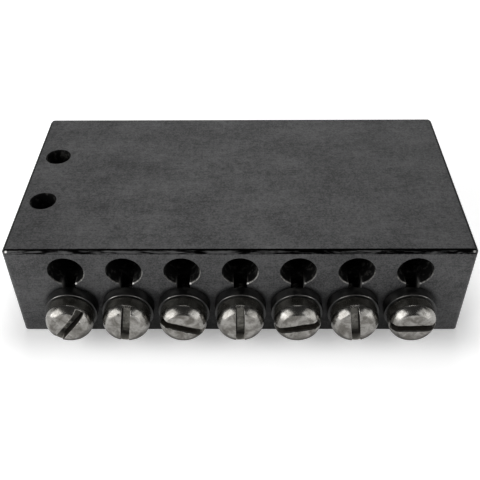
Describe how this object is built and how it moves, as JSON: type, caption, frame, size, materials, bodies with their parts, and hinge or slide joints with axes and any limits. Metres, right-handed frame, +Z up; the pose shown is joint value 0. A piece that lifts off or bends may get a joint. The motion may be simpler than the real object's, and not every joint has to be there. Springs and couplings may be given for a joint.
{
  "type": "lubricant divider block",
  "caption": "Blackened steel block that divides a lubricant supply among a row of outlets, each set by a slotted metering screw below it.",
  "frame": {"origin": "centre of the block's base face", "axes": "+Z up out of the top face, -Y out of the face with the outlets and metering screws, -X out of the inlet end"},
  "size_m": [0.1116, 0.0657, 0.0275],
  "materials": {
    "blackened_block": "blackened, fine matt grain",
    "screw_steel": "turned, worn",
    "seal_black": "satin",
    "ring_rubber": "satin",
    "plug_steel": "turned"
  },
  "bodies": {
    "block": {"block_body": "blackened_block", "passage_plug_1": "plug_steel", "passage_plug_2": "plug_steel", "passage_plug_3": "plug_steel", "passage_plug_4": "plug_steel", "passage_plug_5": "plug_steel", "passage_plug_6": "plug_steel", "passage_plug_7": "plug_steel"},
    "seals_1": {"head_seal_1": "seal_black", "shank_ring_1": "ring_rubber"},
    "screw_1": {"metering_screw_1": "screw_steel"},
    "seals_2": {"head_seal_2": "seal_black", "shank_ring_2": "ring_rubber"},
    "screw_2": {"metering_screw_2": "screw_steel"},
    "seals_3": {"head_seal_3": "seal_black", "shank_ring_3": "ring_rubber"},
    "screw_3": {"metering_screw_3": "screw_steel"},
    "seals_4": {"head_seal_4": "seal_black", "shank_ring_4": "ring_rubber"},
    "screw_4": {"metering_screw_4": "screw_steel"},
    "seals_5": {"head_seal_5": "seal_black", "shank_ring_5": "ring_rubber"},
    "screw_5": {"metering_screw_5": "screw_steel"},
    "seals_6": {"head_seal_6": "seal_black", "shank_ring_6": "ring_rubber"},
    "screw_6": {"metering_screw_6": "screw_steel"},
    "seals_7": {"head_seal_7": "seal_black", "shank_ring_7": "ring_rubber"},
    "screw_7": {"metering_screw_7": "screw_steel"}
  },
  "joints": [
    {"name": "screw_1_advance", "type": "slide", "parent": "block", "child": "seals_1", "axis": [0, -1, 0], "range_m": [0, 0.002]},
    {"name": "screw_1_turn", "type": "hinge", "parent": "seals_1", "child": "screw_1", "pos_m": [-0.0417, -0.0316, 0.0094], "axis": [0, -1, 0], "range_deg": [0, 720.2]},
    {"name": "screw_2_advance", "type": "slide", "parent": "block", "child": "seals_2", "axis": [0, -1, 0], "range_m": [0, 0.002]},
    {"name": "screw_2_turn", "type": "hinge", "parent": "seals_2", "child": "screw_2", "pos_m": [-0.02775, -0.0316, 0.0094], "axis": [0, -1, 0], "range_deg": [0, 720.2]},
    {"name": "screw_3_advance", "type": "slide", "parent": "block", "child": "seals_3", "axis": [0, -1, 0], "range_m": [0, 0.002]},
    {"name": "screw_3_turn", "type": "hinge", "parent": "seals_3", "child": "screw_3", "pos_m": [-0.0138, -0.0316, 0.0094], "axis": [0, -1, 0], "range_deg": [0, 720.2]},
    {"name": "screw_4_advance", "type": "slide", "parent": "block", "child": "seals_4", "axis": [0, -1, 0], "range_m": [0, 0.002]},
    {"name": "screw_4_turn", "type": "hinge", "parent": "seals_4", "child": "screw_4", "pos_m": [0.00015, -0.0316, 0.0094], "axis": [0, -1, 0], "range_deg": [0, 720.2]},
    {"name": "screw_5_advance", "type": "slide", "parent": "block", "child": "seals_5", "axis": [0, -1, 0], "range_m": [0, 0.002]},
    {"name": "screw_5_turn", "type": "hinge", "parent": "seals_5", "child": "screw_5", "pos_m": [0.0141, -0.0316, 0.0094], "axis": [0, -1, 0], "range_deg": [0, 720.2]},
    {"name": "screw_6_advance", "type": "slide", "parent": "block", "child": "seals_6", "axis": [0, -1, 0], "range_m": [0, 0.002]},
    {"name": "screw_6_turn", "type": "hinge", "parent": "seals_6", "child": "screw_6", "pos_m": [0.02805, -0.0316, 0.0094], "axis": [0, -1, 0], "range_deg": [0, 720.2]},
    {"name": "screw_7_advance", "type": "slide", "parent": "block", "child": "seals_7", "axis": [0, -1, 0], "range_m": [0, 0.002]},
    {"name": "screw_7_turn", "type": "hinge", "parent": "seals_7", "child": "screw_7", "pos_m": [0.042, -0.0316, 0.0094], "axis": [0, -1, 0], "range_deg": [0, 720.2]}
  ],
  "couplings": [
    {"joint": "screw_1_turn", "follows": "screw_1_advance", "rad_per_m": 6283.2},
    {"joint": "screw_2_turn", "follows": "screw_2_advance", "rad_per_m": 6283.2},
    {"joint": "screw_3_turn", "follows": "screw_3_advance", "rad_per_m": 6283.2},
    {"joint": "screw_4_turn", "follows": "screw_4_advance", "rad_per_m": 6283.2},
    {"joint": "screw_5_turn", "follows": "screw_5_advance", "rad_per_m": 6283.2},
    {"joint": "screw_6_turn", "follows": "screw_6_advance", "rad_per_m": 6283.2},
    {"joint": "screw_7_turn", "follows": "screw_7_advance", "rad_per_m": 6283.2}
  ]
}
